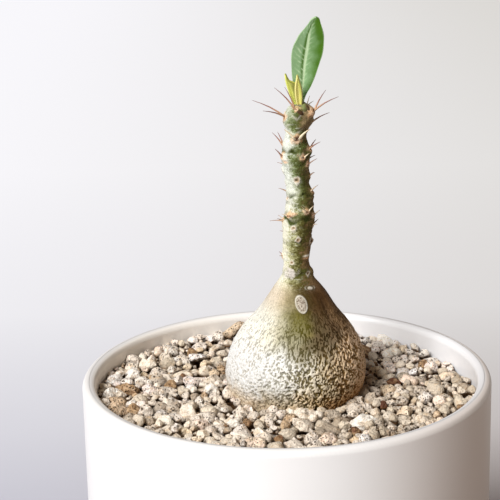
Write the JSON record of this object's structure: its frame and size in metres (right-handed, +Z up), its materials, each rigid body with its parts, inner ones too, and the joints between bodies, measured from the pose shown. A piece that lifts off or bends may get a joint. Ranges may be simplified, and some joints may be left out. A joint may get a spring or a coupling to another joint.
{
  "type": "potted pachypodium",
  "caption": "Small caudex succulent with a swollen warty base, a spiny upright stem and leaves at its tip, in a round white ceramic pot topped with pumice grit.",
  "frame": {"origin": "middle of the pot's resting face", "axes": "+Z up along the pot's axis, -Y towards the front"},
  "size_m": [0.1, 0.1, 0.1747],
  "materials": {
    "pot_glaze": "smooth white satin glaze",
    "potting_mix": "dark gritty mix, matt",
    "pumice": "rough porous pumice grit",
    "plant_skin": "corky pale net over olive green skin, matt",
    "mature_leaf": "satin green leaf",
    "young_leaf": "soft yellow-green leaf"
  },
  "bodies": {
    "root": {"pot": "pot_glaze", "potting_mix": "potting_mix", "pumice_gravel": "pumice", "plant": "plant_skin", "mature_leaf": "mature_leaf", "young_leaf_left": "young_leaf", "young_leaf_right": "young_leaf"}
  },
  "joints": []
}
